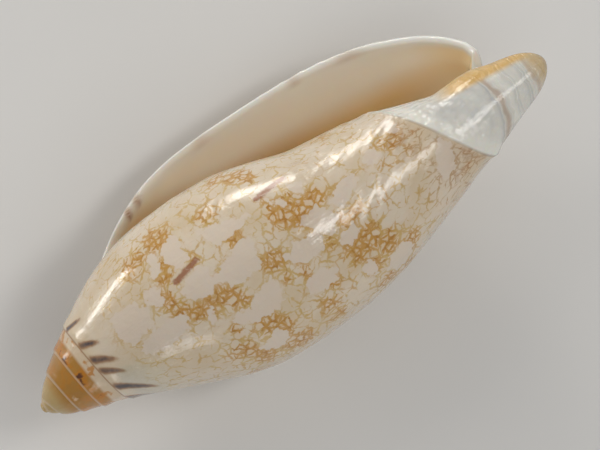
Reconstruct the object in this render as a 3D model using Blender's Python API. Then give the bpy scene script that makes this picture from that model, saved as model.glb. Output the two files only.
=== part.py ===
"""Amoria damonii, a volute seashell, as one closed solid at its real size (metres, +Z up).

The shell is laid out along its coiling axis: x runs from the apex to the front end. A growth stage is counted in
turns before the finished lip, so -1 is one whorl back. At each stage a profile gives the radius at every distance
from the apex, and the stage also sets the angle round the axis. Rows 0..LAST run down a profile.
"""
import math

import bmesh
import bpy
import numpy as np
from mathutils import Matrix

MM = 0.001
LENGTH = 105.0                 # apex to front end, mm
LIP_ANGLE = -32.0              # angle of the lip round the axis, degrees
CAVITY_TURNS = 0.6             # how far the aperture goes in
LIP_WALL, WALL = 1.3, 2.0      # wall thickness at the lip and inside, mm
NOTCH_TURNS = 0.075            # how far the front notch is cut back
PLEATS = (0.93, 1.01, 1.09, 1.17)
PLEAT_HEIGHT = 0.9
FASCIOLE_HEIGHT = 0.3          # of the low ridge along the fasciole edge, mm
CORNER_ROUND = 1.0             # how far the lip's front corner is drawn back, mm
REST_ROLL = 5.5                # turn about the axis that brings the resting side down, degrees
REST_PITCH = -3.8              # then the front end is raised a little, degrees
FLAT_DEPTH = 0.4               # depth of the small flat spot that the shell rests on, mm

COLUMNS = 48                   # per turn
SPIRE_TURNS = 4
ROWS_SPIRE, ROWS_BODY, ROWS_FRONT, ROWS_TIP, ROWS_RIM = 3, 20, 12, 4, 2

# Growth, by stage: distance from the apex of the suture, of the widest place and of the fasciole edge, and the
# radius at the last two, mm. The suture's radius is read from the whorl before, after the first turns.
STAGE = (-5.0, -4.0, -3.45, -2.91, -2.41, -1.91, -1.41, -0.91, -0.41, 0.0)
SUTURE_AT = (0.6, 0.6, 2.1, 3.9, 5.5, 7.2, 9.0, 10.8, 13.4, 16.8)
SUTURE_R = (1.0, 1.0, 2.4, 3.9, 4.8, 6.2, 7.4, 8.0, 9.3, 10.6)
WIDEST_AT = (6.0, 9.8, 12.5, 15.4, 19.2, 24.0, 30.2, 38.1, 46.7, 49.8)
WIDEST_R = (3.0, 5.2, 6.9, 8.1, 9.3, 10.7, 12.5, 15.1, 19.5, 25.6)
EDGE_AT = (20.0, 26.0, 32.0, 38.6, 46.5, 55.5, 65.0, 73.8, 89.6, 97.8)
EDGE_R = (1.6, 2.1, 2.6, 3.1, 3.8, 4.6, 5.7, 7.2, 9.8, 7.5)
NEXT_SUTURE = 1.62             # growth of the suture's distance per turn past the lip

# Profile shapes: suture to widest (0..1), full and straight sided, and widest to fasciole edge (1..0)
STEP = (0.0, 0.2, 0.4, 0.6, 0.8, 1.0)
FULL = (0.0, 0.40, 0.71, 0.90, 0.978, 1.0)
STRAIGHT = (0.0, 0.293, 0.565, 0.822, 0.963, 1.0)
FRONT_STEP = (0.0, 0.2, 0.4, 0.6, 0.8, 0.9, 1.0)
FRONT_LIP = (1.0, 0.985, 0.945, 0.83, 0.575, 0.36, 0.0)
FRONT_MID = (1.0, 0.962, 0.83, 0.58, 0.29, 0.13, 0.0)
FRONT_OLD = (1.0, 0.93, 0.69, 0.37, 0.16, 0.08, 0.0)

# The coiling axis bends a little toward the lip near the apex
AXIS_AT = (0.0, 4.6, 8.1, 12.0, 22.3, 42.9, 106.0)
AXIS_Y = (0.3, 0.9, 1.5, 2.0, 2.2, 2.3, 2.3)

# Columella and front tongue: an oval round the axis, by its four sides
CORE_AT = (43.0, 60.0, 68.5, 75.5, 82.5, 86.0, 88.5, 91.0, 93.5, 96.0, 99.0, 105.0)
CORE_LIP_SIDE = (10.3, 12.0, 11.2, 9.4, 7.2, 6.3, 6.4, 6.5, 6.3, 5.5, 4.8, 3.3)
CORE_FAR_SIDE = (-3.4, -3.4, -4.3, -5.7, -7.2, -7.7, -7.7, -7.1, -6.3, -5.4, -4.4, -2.3)
CORE_FACE = (5.1, 6.9, 7.7, 8.4, 8.4, 7.9, 7.4, 6.9, 6.2, 5.5, 4.5, 3.0)
CORE_BACK = (-6.5, -6.5, -5.8, -5.1, -4.5, -4.1, -3.8, -3.5, -3.3, -2.9, -2.5, -1.5)
INNER_CORE_R = 3.6
RING_AT = 93.5                 # where the whorl sheet runs into the tongue
TONGUE_ROUND_FROM = 99.5

EDGE_ROW = ROWS_SPIRE + 1 + ROWS_BODY
LAST = EDGE_ROW + ROWS_FRONT


def curve(x, at, values):
    """Smooth monotone curve through the points, held straight past its ends."""
    x, at, values = np.asarray(x, float), np.asarray(at, float), np.asarray(values, float)
    step = np.diff(at)
    slope = np.diff(values) / step
    tangent = np.zeros(len(at))
    left, right = slope[:-1], slope[1:]
    same = left * right > 0
    safe_l, safe_r = np.where(same, left, 1.0), np.where(same, right, 1.0)
    tangent[1:-1] = np.where(same, 2 * safe_l * safe_r / (safe_l + safe_r), 0.0)
    tangent[0], tangent[-1] = slope[0], slope[-1]
    i = np.clip(np.searchsorted(at, x, side="right") - 1, 0, len(step) - 1)
    t = np.clip((x - at[i]) / step[i], 0, 1)
    inside = ((1 + 2 * t) * (1 - t) ** 2 * values[i] + t * (1 - t) ** 2 * step[i] * tangent[i]
              + t * t * (3 - 2 * t) * values[i + 1] - t * t * (1 - t) * step[i] * tangent[i + 1])
    return inside + np.minimum(x - at[0], 0) * tangent[0] + np.maximum(x - at[-1], 0) * tangent[-1]


def ease(x, start, end):
    t = np.clip((x - start) / (end - start), 0, 1)
    return t * t * (3 - 2 * t)


def mix(a, b, t):
    return a + (b - a) * t


def angle(stage):
    return np.radians(360.0 * stage + LIP_ANGLE)


def suture_at(stage):
    return np.where(stage <= 0, curve(stage, STAGE, SUTURE_AT), SUTURE_AT[-1] * NEXT_SUTURE ** np.maximum(stage, 0))


def place(stage, along, radius):
    beta = angle(stage)
    return np.stack([along + 0 * radius, curve(along, AXIS_AT, AXIS_Y) + radius * np.cos(beta),
                     radius * np.sin(beta)], axis=-1)


def core_sides(along):
    """Centre and half widths of the oval core and tongue."""
    lip, far = curve(along, CORE_AT, CORE_LIP_SIDE), curve(along, CORE_AT, CORE_FAR_SIDE)
    face, back = curve(along, CORE_AT, CORE_FACE), curve(along, CORE_AT, CORE_BACK)
    return (lip + far) / 2, (face + back) / 2, (lip - far) / 2, (face - back) / 2


def core_radius(stage, along):
    """Distance from the axis to the oval, thinner inside the shell."""
    cy, cz, hy, hz = core_sides(along)
    beta = angle(stage)
    c, s = np.cos(beta), np.sin(beta)
    oy, oz = curve(along, AXIS_AT, AXIS_Y) - cy, -cz
    a, b = (c / hy) ** 2 + (s / hz) ** 2, 2 * (oy * c / hy ** 2 + oz * s / hz ** 2)
    outside = (-b + np.sqrt(np.maximum(b * b - 4 * a * ((oy / hy) ** 2 + (oz / hz) ** 2 - 1), 0))) / (2 * a)
    return mix(outside, INNER_CORE_R, ease(-1 - stage, 0.0, 0.35))


SUTURE_TABLE_AT = np.linspace(-5, 0, 1001)
SUTURE_TABLE = curve(SUTURE_TABLE_AT, STAGE, SUTURE_R)


def suture_r(stage):
    return np.interp(stage, SUTURE_TABLE_AT, SUTURE_TABLE)


def profile(stage, along):
    """Radius of the whorl sheet made at a stage."""
    start, widest, edge = suture_at(stage), curve(stage, STAGE, WIDEST_AT), curve(stage, STAGE, EDGE_AT)
    r0, r1, r2 = suture_r(stage), curve(stage, STAGE, WIDEST_R), curve(stage, STAGE, EDGE_R)
    t = np.clip((along - start) / (widest - start), 0, 1)
    fullness = 0.5 - 0.5 * np.cos(2 * np.pi * (stage + 0.41)) * ease(stage, -2.2, -1.0)
    behind = r0 + (r1 - r0) * mix(curve(t, STEP, STRAIGHT), curve(t, STEP, FULL), fullness)
    t = np.clip((along - widest) / (edge - widest), 0, 1)
    lip, old = ease(stage, -0.41, 0.0), 1 - ease(stage, -0.91, -0.41)
    front = (lip * curve(t, FRONT_STEP, FRONT_LIP) + old * curve(t, FRONT_STEP, FRONT_OLD)
             + (1 - lip - old) * curve(t, FRONT_STEP, FRONT_MID))
    return np.where(along <= widest, behind, r2 + (r1 - r2) * front)


for n, stage in enumerate(SUTURE_TABLE_AT):      # each suture lies on the whorl one turn earlier
    if stage > -2.9:
        before = float(profile(np.float64(stage - 1), suture_at(np.float64(stage))))
        SUTURE_TABLE[n] = mix(SUTURE_TABLE[n], before, float(ease(stage, -2.9, -2.3)))


def body(stage, along):
    """The sheet, swelling where it runs over the columella, with the columella's pleats inside the aperture."""
    sheet = profile(stage, along)
    core = core_radius(stage, np.clip(along, 43.0, 99.0))
    joined = 0.5 * (sheet + core + np.sqrt((sheet - core) ** 2 + 1.0))
    widest = curve(stage, STAGE, WIDEST_AT)
    return mix(sheet, joined, ease(along, widest + 2, widest + 14))


def pleats(stage, along):
    edge = curve(stage, STAGE, EDGE_AT)
    depth = ease(-stage, 0.955, 1.03)
    return PLEAT_HEIGHT * depth * sum(np.exp(-((along / edge - at) / 0.022) ** 2) for at in PLEATS)


def collar(stage):
    """Width of the strip by the suture where the inner surface starts."""
    return 3.2 * np.clip(curve(stage, STAGE, WIDEST_R) / WIDEST_R[-1], 0.3, 1)


def ring_at(stage):
    """Where the sheet ends on the core: the tongue's root outside, further back inside the shell."""
    inside = curve(np.minimum(stage + 1, 0), STAGE, EDGE_AT) - 5.0
    return mix(RING_AT, inside, ease(-1 - stage, 0.0, 0.15))


def next_suture_at(stage):
    after = suture_at(stage + 1)
    return np.where(stage > -1, np.minimum(after, 27.5), after)


def sheet_at(stage, row):
    """Distance along the axis of the rows from the suture to the fasciole edge."""
    start, after = suture_at(stage), next_suture_at(stage)
    first, edge = after + collar(np.minimum(stage + 1, 0)), curve(stage, STAGE, EDGE_AT)
    t_spire, t_collar = np.clip(row / ROWS_SPIRE, 0, 1), np.clip(row - ROWS_SPIRE, 0, 1)
    return start + (after - start) * t_spire + (first - after) * t_collar + (edge - first) * share(row)


def share(row):
    """How far a row is down the body part of the profile."""
    return np.clip((row - ROWS_SPIRE - 1) / ROWS_BODY, 0, 1)


def rounded(stage, along, radius, corner_at, corner_r):
    """Draws the front corner of the finished lip back into a round."""
    near = (along - corner_at) ** 2 + (radius - corner_r) ** 2
    return along - CORNER_ROUND * ease(stage, -0.2, 0.0) * np.exp(-near / 2.5)


def whorl(stage, row):
    """Distance along the axis and radius of the outer surface."""
    along, after = sheet_at(stage, row), next_suture_at(stage)
    edge, ring = curve(stage, STAGE, EDGE_AT), ring_at(stage)
    t_spire = np.clip(row / ROWS_SPIRE, 0, 1)
    t_front = np.clip((row - EDGE_ROW) / ROWS_FRONT, 0, 1)
    at_edge = body(stage, edge)
    late_lip = ease(stage, -0.2, 0.0)            # the front corner of the lip turns in more tightly
    tail_at = edge + (ring - edge) * t_front ** mix(1.0, 1.8, late_lip)
    tail = (core_radius(stage, tail_at)
            + (at_edge - core_radius(stage, edge)) * (1 - t_front) ** mix(1.5, 1.1, late_lip))
    # early whorls: a plain band between two sutures
    r0, r1 = suture_r(stage), suture_r(np.minimum(stage + 1, 0))
    band = mix(r0, r1, t_spire) + 0.12 * (r1 - r0) * np.sin(np.pi * t_spire)
    sheet = body(stage, along)
    late = ease(stage, -3.3, -2.7)
    miss = np.where(stage <= -1, r1 - profile(stage, after), 0.0)
    sheet = np.where(row <= ROWS_SPIRE, mix(band, sheet + miss * t_spire, late), sheet)
    radius = np.where(row > EDGE_ROW, tail, sheet)
    along = np.where(row > EDGE_ROW, tail_at, along)
    raised = pleats(stage, along) * np.where(row > EDGE_ROW, np.minimum(1, 3 * (1 - t_front)),
                                             ease(share(row), 0.4, 0.6))
    raised = raised + (FASCIOLE_HEIGHT * np.exp(-((along - edge) / 1.0) ** 2)
                       * ease(-stage, 0.05, 0.3) * (1 - ease(-stage, 0.93, 1.0)))
    return rounded(stage, along, radius, edge, at_edge), radius + raised


def wall_line(stage, along):
    """Radius of the surface one turn back, which the cavity lies on, at a given distance along the axis."""
    back = stage - 1
    edge, ring = curve(back, STAGE, EDGE_AT), ring_at(back)
    t = np.clip((along - edge) / (ring - edge), 0, 1)
    tail = core_radius(back, along) + (body(back, edge) - core_radius(back, edge)) * (1 - t) ** 1.5
    return np.where(along <= edge, body(back, along), tail) + pleats(back, along) * np.minimum(1, 3 * (1 - t))


def lining(stage, row):
    """Inner surface of the outer wall."""
    wall = mix(LIP_WALL, WALL, ease(-stage, 0.0, 0.06))
    start = suture_at(stage) + collar(stage)
    edge = curve(stage, STAGE, EDGE_AT)
    corner = edge - wall
    t = np.clip((sheet_at(stage, row) - suture_at(stage)) / (edge - suture_at(stage)), 0, 1)
    along = start + (corner - start) * t
    slope = (body(stage, along + 0.2) - body(stage, along - 0.2)) / 0.4
    gap = body(stage, along) - wall * np.sqrt(1 + slope ** 2) - wall_line(stage, along)
    opened = 1 - (1 - np.clip(t / 0.10, 0, 1)) ** 2
    radius = wall_line(stage, along) + np.maximum(gap, 0.3) * opened
    corner_slope = (body(stage, corner) - body(stage, corner - 0.4)) / 0.4
    corner_r = body(stage, corner) - wall * np.sqrt(1 + corner_slope ** 2)
    corner_r = wall_line(stage, corner) + np.maximum(corner_r - wall_line(stage, corner), 0.3)
    ring = ring_at(stage - 1)
    _, ring_r = whorl(stage - 1, np.full_like(row, LAST))
    t_front = np.clip((row - EDGE_ROW) / ROWS_FRONT, 0, 1)
    along = np.where(row > EDGE_ROW, mix(corner, ring, t_front), along)
    radius = np.where(row > EDGE_ROW, mix(corner_r, ring_r, t_front), radius)
    return rounded(stage, along, radius, corner, corner_r), radius


def receded(stage, row):
    """The notch: near the lip the front rows lie further back in growth."""
    t_front = np.clip((row - EDGE_ROW) / ROWS_FRONT, 0, 1)
    return stage - NOTCH_TURNS * np.sin(np.pi * t_front) ** 2 * np.clip(1 + stage / 0.3, 0, 1) ** 2


def outside(stage, row):
    stage = receded(stage, row)
    return place(stage, *whorl(stage, row))


def inside(stage, row):
    stage = receded(stage, row)
    return place(stage, *lining(stage, row))


def rim(row, across):
    outer, inner = outside(0 * row, row), inside(0 * row, row)
    across = np.where((row == 0) & (across < 1), 0.0, across)[:, None]
    width = np.linalg.norm(outer - inner, axis=1)[:, None]
    beta = angle(receded(0 * row, row))
    ahead = np.stack([0 * beta, -np.sin(beta), np.cos(beta)], axis=1)
    return mix(outer, inner, across) + ahead * width * 0.4 * np.sin(np.pi * across)


def tongue(stage, t):
    """The rounded front end beyond the ring."""
    ring = outside(stage, np.full_like(stage, LAST))
    along = RING_AT + (LENGTH - RING_AT) * np.sin(np.pi / 2 * t)
    cy0, cz0, hy0, hz0 = core_sides(np.full_like(t, RING_AT))
    cy, cz, hy, hz = core_sides(along)
    end = np.clip((along - TONGUE_ROUND_FROM) / (LENGTH - TONGUE_ROUND_FROM), 0, 1)
    close = np.where(t >= 1, 0.0, np.sqrt(1 - end ** 3))
    return np.stack([along, cy + (ring[:, 1] - cy0) * hy / hy0 * close,
                     cz + (ring[:, 2] - cz0) * hz / hz0 * close], axis=1)


def nucleus(stage, t):
    """The small dome over the first whorl."""
    return place(stage, SUTURE_AT[0] * (1 - np.sin(np.pi / 2 * t)), np.where(t >= 1, 0.0, np.cos(np.pi / 2 * t)))


def patch(bm, columns, rows, surface):
    """A grid whose points are moved onto a surface given by two parameters from 0 to 1."""
    verts = bmesh.ops.create_grid(bm, x_segments=columns, y_segments=rows, size=0.5)["verts"]
    at = np.array([(v.co.x + 0.5, v.co.y + 0.5) for v in verts])
    u, v = np.round(at[:, 0] * columns) / columns, np.round(at[:, 1] * rows) / rows
    for vert, point in zip(verts, surface(u, v)):
        vert.co = point * MM


def build_shell():
    bm = bmesh.new()
    inner = round(COLUMNS * CAVITY_TURNS)
    depth = inner / COLUMNS
    rows_in = LAST - ROWS_SPIRE - 1
    patch(bm, COLUMNS, LAST, lambda u, v: outside(u - 1, v * LAST))
    patch(bm, SPIRE_TURNS * COLUMNS, ROWS_SPIRE, lambda u, v: outside(-5 + u * SPIRE_TURNS, v * ROWS_SPIRE))
    patch(bm, inner, rows_in, lambda u, v: outside(-1 - depth + u * depth, ROWS_SPIRE + 1 + v * rows_in))
    patch(bm, inner, LAST, lambda u, v: inside(-depth + u * depth, v * LAST))
    patch(bm, LAST, ROWS_RIM + 1, lambda u, v: rim(u * LAST, v))
    patch(bm, COLUMNS, ROWS_TIP, lambda u, v: tongue(u - 1, v))
    patch(bm, COLUMNS, 2, lambda u, v: nucleus(u - 5, v))
    bmesh.ops.remove_doubles(bm, verts=bm.verts, dist=1e-7)
    bmesh.ops.dissolve_degenerate(bm, edges=bm.edges, dist=1e-8)
    open_edges = [e for e in bm.edges if e.is_boundary]
    bmesh.ops.holes_fill(bm, edges=open_edges, sides=0)
    bmesh.ops.triangulate(bm, faces=[f for f in bm.faces if len(f.verts) > 4])
    bmesh.ops.recalc_face_normals(bm, faces=bm.faces)
    return bm


def rest(bm):
    """Turn the shell to its resting side, cut the small flat spot and stand it on z = 0."""
    turn = Matrix.Rotation(math.radians(REST_PITCH), 4, "Y") @ Matrix.Rotation(math.radians(REST_ROLL), 4, "X")
    bmesh.ops.transform(bm, matrix=turn, verts=bm.verts)
    low = min(v.co.z for v in bm.verts) + FLAT_DEPTH * MM
    bmesh.ops.bisect_plane(bm, geom=bm.verts[:] + bm.edges[:] + bm.faces[:], dist=1e-7,
                           plane_co=(0, 0, low), plane_no=(0, 0, -1), clear_outer=True)
    bmesh.ops.holes_fill(bm, edges=[e for e in bm.edges if e.is_boundary], sides=0)
    bmesh.ops.recalc_face_normals(bm, faces=bm.faces)
    xs, ys = [v.co.x for v in bm.verts], [v.co.y for v in bm.verts]
    bmesh.ops.translate(bm, verts=bm.verts, vec=(-(min(xs) + max(xs)) / 2, -(min(ys) + max(ys)) / 2, -low))


def material(name, colour, roughness):
    mat = bpy.data.materials.new(name)
    mat.use_nodes = True
    bsdf = mat.node_tree.nodes["Principled BSDF"]
    bsdf.inputs["Base Color"].default_value = (*colour, 1)
    bsdf.inputs["Roughness"].default_value = roughness
    bsdf.inputs["Metallic"].default_value = 0.0
    return mat


def main():
    for obj in list(bpy.data.objects):
        bpy.data.objects.remove(obj, do_unlink=True)
    group = bpy.data.collections.new("Amoria damonii")
    bpy.context.scene.collection.children.link(group)
    bm = build_shell()
    rest(bm)
    mesh = bpy.data.meshes.new("shell")
    bm.to_mesh(mesh)
    bm.free()
    mesh.shade_smooth()
    mesh.materials.append(material("shell_gloss", (0.80, 0.68, 0.55), 0.2))
    group.objects.link(bpy.data.objects.new("shell", mesh))


main()
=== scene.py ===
# %% [markdown]
# # Dressing a volute shell
# The shell is *Amoria damonii*, a glossy sea snail's shell about 105 mm long. A snail builds its shell as
# one spiral sheet, adding to its open edge, so the whole shell can be drawn as a growing curve that turns
# round an axis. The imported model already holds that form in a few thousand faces. This lesson grows the same
# form again with a far finer grid, then paints it: a net of orange-brown lines round white tents, dark
# streaks below the suture, a honey-coloured spire and a tan aperture.

import math

import bmesh
import bpy
import numpy as np
from mathutils import Matrix, Vector


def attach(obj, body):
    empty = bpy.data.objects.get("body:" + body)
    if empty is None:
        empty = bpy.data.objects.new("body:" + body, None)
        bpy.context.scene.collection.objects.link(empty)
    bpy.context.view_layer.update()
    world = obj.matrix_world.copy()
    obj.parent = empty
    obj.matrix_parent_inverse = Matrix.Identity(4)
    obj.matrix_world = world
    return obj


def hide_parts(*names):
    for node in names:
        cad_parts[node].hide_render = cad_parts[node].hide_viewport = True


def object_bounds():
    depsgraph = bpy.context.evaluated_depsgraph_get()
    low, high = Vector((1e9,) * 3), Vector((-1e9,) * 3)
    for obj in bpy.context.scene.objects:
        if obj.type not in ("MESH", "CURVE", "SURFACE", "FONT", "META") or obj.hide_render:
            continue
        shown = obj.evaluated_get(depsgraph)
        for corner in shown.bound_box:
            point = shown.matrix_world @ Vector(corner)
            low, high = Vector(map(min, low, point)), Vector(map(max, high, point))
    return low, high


MM = 0.001
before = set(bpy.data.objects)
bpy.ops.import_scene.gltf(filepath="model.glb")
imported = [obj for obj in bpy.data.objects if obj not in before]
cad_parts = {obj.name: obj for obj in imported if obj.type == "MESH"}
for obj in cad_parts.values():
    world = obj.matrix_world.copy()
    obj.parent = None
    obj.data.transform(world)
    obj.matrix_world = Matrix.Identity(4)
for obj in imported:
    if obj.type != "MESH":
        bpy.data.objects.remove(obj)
cad_box = [list(corner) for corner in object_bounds()]
print("packed model's box, mm:", [[round(value / MM, 1) for value in corner] for corner in cad_box])

# %% [markdown]
# ## How the shell lies
# The shell rests on the back of its last whorl, rolled and pitched a little to the side that its weight
# finds. All shapes below are worked out along the coiling axis first: x runs from the apex to the front end,
# y points to the outer lip, and z to someone looking straight down into the picture. One matrix then lays
# the shell down.

# %% The laid-down pose
REST_ROLL, REST_PITCH = 5.5, -3.8      # degrees
FLAT_DEPTH = 0.4                       # depth of the flat spot that the shell rests on, mm
LAID = Matrix.Rotation(math.radians(REST_PITCH), 3, "Y") @ Matrix.Rotation(math.radians(REST_ROLL), 3, "X")
print("up, seen along the axis:", [round(value, 3) for value in LAID.transposed() @ Vector((0, 0, 1))])

# %% [markdown]
# ## Growth in numbers
# A growth stage counts turns before the finished lip: -1 is one whorl back. At a few stages, the tables hold
# where the whorl meets the one before it (the suture), where it is widest, and where the narrow front strip
# called the fasciole starts. A smooth monotone curve joins the entries, so nothing overshoots between them.

# %% Growth tables, mm
LENGTH = 105.0
LIP_ANGLE = -32.0                      # of the finished lip round the axis, degrees
CAVITY_TURNS = 0.6                     # how far back the aperture is open
LIP_WALL, WALL = 1.3, 2.0
NOTCH_TURNS = 0.075                    # how far back the notch at the front of the lip is cut
LIP_FROM = -0.2                        # the stage from which the sheet takes the shape of the finished lip
RECENT, OLDER = -0.41, -0.91           # stages between which the front of the profile fills out
PLEATS = (0.93, 1.01, 1.09, 1.17)      # places on the core, as shares of the way to the fasciole
PLEAT_HEIGHT, PLEAT_WIDTH = 0.9, 0.022
FASCIOLE_HEIGHT = 0.3
CORNER_ROUND = 1.0

STAGE = (-5.0, -4.0, -3.45, -2.91, -2.41, -1.91, -1.41, -0.91, -0.41, 0.0)
SUTURE_AT = (0.6, 0.6, 2.1, 3.9, 5.5, 7.2, 9.0, 10.8, 13.4, 16.8)
SUTURE_R = (1.0, 1.0, 2.4, 3.9, 4.8, 6.2, 7.4, 8.0, 9.3, 10.6)
WIDEST_AT = (6.0, 9.8, 12.5, 15.4, 19.2, 24.0, 30.2, 38.1, 46.7, 49.8)
WIDEST_R = (3.0, 5.2, 6.9, 8.1, 9.3, 10.7, 12.5, 15.1, 19.5, 25.6)
EDGE_AT = (20.0, 26.0, 32.0, 38.6, 46.5, 55.5, 65.0, 73.8, 89.6, 97.8)
EDGE_R = (1.6, 2.1, 2.6, 3.1, 3.8, 4.6, 5.7, 7.2, 9.8, 7.5)
NEXT_SUTURE = 1.62                     # how much further along the next suture would be, past the lip

# Share of the swelling at each share of the way: suture to widest place, then widest place to fasciole.
STEP = (0.0, 0.2, 0.4, 0.6, 0.8, 1.0)
FULL = (0.0, 0.40, 0.71, 0.90, 0.978, 1.0)
STRAIGHT = (0.0, 0.293, 0.565, 0.822, 0.963, 1.0)
FRONT_STEP = (0.0, 0.2, 0.4, 0.6, 0.8, 0.9, 1.0)
FRONT_LIP = (1.0, 0.985, 0.945, 0.83, 0.575, 0.36, 0.0)
FRONT_MID = (1.0, 0.962, 0.83, 0.58, 0.29, 0.13, 0.0)
FRONT_OLD = (1.0, 0.93, 0.69, 0.37, 0.16, 0.08, 0.0)

# The axis of coiling isn't quite straight: its y at some places along it.
AXIS_AT = (0.0, 4.6, 8.1, 12.0, 22.3, 42.9, 106.0)
AXIS_Y = (0.3, 0.9, 1.5, 2.0, 2.2, 2.3, 2.3)

# Where the core's four sides lie, in y and z. Inside the shell it is a plain round rod.
CORE_AT = (43.0, 60.0, 68.5, 75.5, 82.5, 86.0, 88.5, 91.0, 93.5, 96.0, 99.0, 105.0)
CORE_LIP_SIDE = (10.3, 12.0, 11.2, 9.4, 7.2, 6.3, 6.4, 6.5, 6.3, 5.5, 4.8, 3.3)
CORE_FAR_SIDE = (-3.4, -3.4, -4.3, -5.7, -7.2, -7.7, -7.7, -7.1, -6.3, -5.4, -4.4, -2.3)
CORE_FACE = (5.1, 6.9, 7.7, 8.4, 8.4, 7.9, 7.4, 6.9, 6.2, 5.5, 4.5, 3.0)
CORE_BACK = (-6.5, -6.5, -5.8, -5.1, -4.5, -4.1, -3.8, -3.5, -3.3, -2.9, -2.5, -1.5)
CORE_FROM, CORE_TO = 43.0, 99.0        # the stretch along which the sheet can lie against the core
INNER_CORE_R, THINNING_TURNS = 3.6, 0.35
RING_AT, RING_BACK = 93.5, 5.0         # where the sheet ends on the core, and how far before the edge inside
TONGUE_ROUND_FROM = 99.5
print("the last whorl is widest at", WIDEST_R[-1], "mm from the axis")

# %% [markdown]
# ## The grid
# The sheet is drawn as a grid: columns run round the axis, rows run from the suture down to the front end.
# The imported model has 48 columns a turn. Four times that leaves cells of about 0.7 mm, fine enough for a
# polished surface and for edges of the pattern to stay crisp.

# %% Grid of the fine mesh
COLUMNS = 192
FIRST, SPIRE_TURNS = -5, 4             # stage of the apex, and the whorls before the last
ROWS_NUCLEUS, ROWS_SPIRE, ROWS_COLLAR, ROWS_BODY, ROWS_FRONT, ROWS_TIP = 4, 12, 6, 84, 40, 16
JOIN_ROW = ROWS_SPIRE + ROWS_COLLAR
EDGE_ROW = JOIN_ROW + ROWS_BODY
LAST = EDGE_ROW + ROWS_FRONT
print("grid:", COLUMNS, "columns a turn,", LAST, "rows from suture to ring")

# %% [markdown]
# ## Curves and blends
# Everything between two entries of a table comes from one smooth curve, and everything that changes from one
# form to another is mixed by an eased share. With these few helpers the shapes below stay one-line sums.

# %% Curves and blends
def curve(x, at, values):
    """Smooth monotone curve through the points, held straight past its ends."""
    x, at, values = np.asarray(x, float), np.asarray(at, float), np.asarray(values, float)
    step = np.diff(at)
    slope = np.diff(values) / step
    tangent = np.zeros(len(at))
    left, right = slope[:-1], slope[1:]
    same = left * right > 0
    safe_l, safe_r = np.where(same, left, 1.0), np.where(same, right, 1.0)
    tangent[1:-1] = np.where(same, 2 * safe_l * safe_r / (safe_l + safe_r), 0.0)
    tangent[0], tangent[-1] = slope[0], slope[-1]
    i = np.clip(np.searchsorted(at, x, side="right") - 1, 0, len(step) - 1)
    t = np.clip((x - at[i]) / step[i], 0, 1)
    inside = ((1 + 2 * t) * (1 - t) ** 2 * values[i] + t * (1 - t) ** 2 * step[i] * tangent[i]
              + t * t * (3 - 2 * t) * values[i + 1] - t * t * (1 - t) * step[i] * tangent[i + 1])
    return inside + np.minimum(x - at[0], 0) * tangent[0] + np.maximum(x - at[-1], 0) * tangent[-1]


def ease(x, start, end):
    t = np.clip((x - start) / (end - start), 0, 1)
    return t * t * (3 - 2 * t)


def mix(a, b, t):
    return a + (b - a) * t


def angle(stage):
    return np.radians(360.0 * stage + LIP_ANGLE)


def suture_at(stage):
    beyond = SUTURE_AT[-1] * NEXT_SUTURE ** np.maximum(stage, 0)
    return np.where(stage <= 0, curve(stage, STAGE, SUTURE_AT), beyond)


def edge_at(stage):
    """Where the fasciole starts."""
    return curve(stage, STAGE, EDGE_AT)


def outermost(stage):
    """1 on the last whorl, 0 further back."""
    return 1 - ease(-stage, 0.93, 1.0)


def place(stage, along, radius):
    """The point at a distance along the axis and a radius, turned to the stage's angle."""
    beta = angle(stage)
    return np.stack([along + 0 * radius, curve(along, AXIS_AT, AXIS_Y) + radius * np.cos(beta),
                     radius * np.sin(beta)], axis=-1)


print("at the lip the suture is", round(float(suture_at(0.0)), 1), "mm from the apex, the fasciole",
      round(float(edge_at(0.0)), 1), "mm")

# %% [markdown]
# ## The core and the profile
# The whorls wind round a solid core, the columella, which ends in a rounded tongue at the front. Its section
# is an oval. The sheet's own profile starts at the suture, swells to the widest place and falls to the
# fasciole. Each suture lies on the whorl before, so its radius is read from that whorl, turn after turn.

# %% Core and profile
def core_sides(along):
    """Centre and half widths of the oval core and tongue."""
    lip, far = curve(along, CORE_AT, CORE_LIP_SIDE), curve(along, CORE_AT, CORE_FAR_SIDE)
    face, back = curve(along, CORE_AT, CORE_FACE), curve(along, CORE_AT, CORE_BACK)
    return (lip + far) / 2, (face + back) / 2, (lip - far) / 2, (face - back) / 2


def core_radius(stage, along):
    """Distance from the axis to the oval, thinner inside the shell."""
    cy, cz, hy, hz = core_sides(along)
    beta = angle(stage)
    c, s = np.cos(beta), np.sin(beta)
    oy, oz = curve(along, AXIS_AT, AXIS_Y) - cy, -cz
    a, b = (c / hy) ** 2 + (s / hz) ** 2, 2 * (oy * c / hy ** 2 + oz * s / hz ** 2)
    outer = (-b + np.sqrt(np.maximum(b * b - 4 * a * ((oy / hy) ** 2 + (oz / hz) ** 2 - 1), 0))) / (2 * a)
    return mix(outer, INNER_CORE_R, ease(-1 - stage, 0.0, THINNING_TURNS))


TABLE_STEP = 0.005                     # turns
SUTURE_TABLE_AT = np.linspace(FIRST, 0, 1001)
SUTURE_TABLE = curve(SUTURE_TABLE_AT, STAGE, SUTURE_R)


def suture_r(stage):
    return np.interp(stage, SUTURE_TABLE_AT, SUTURE_TABLE)


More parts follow.
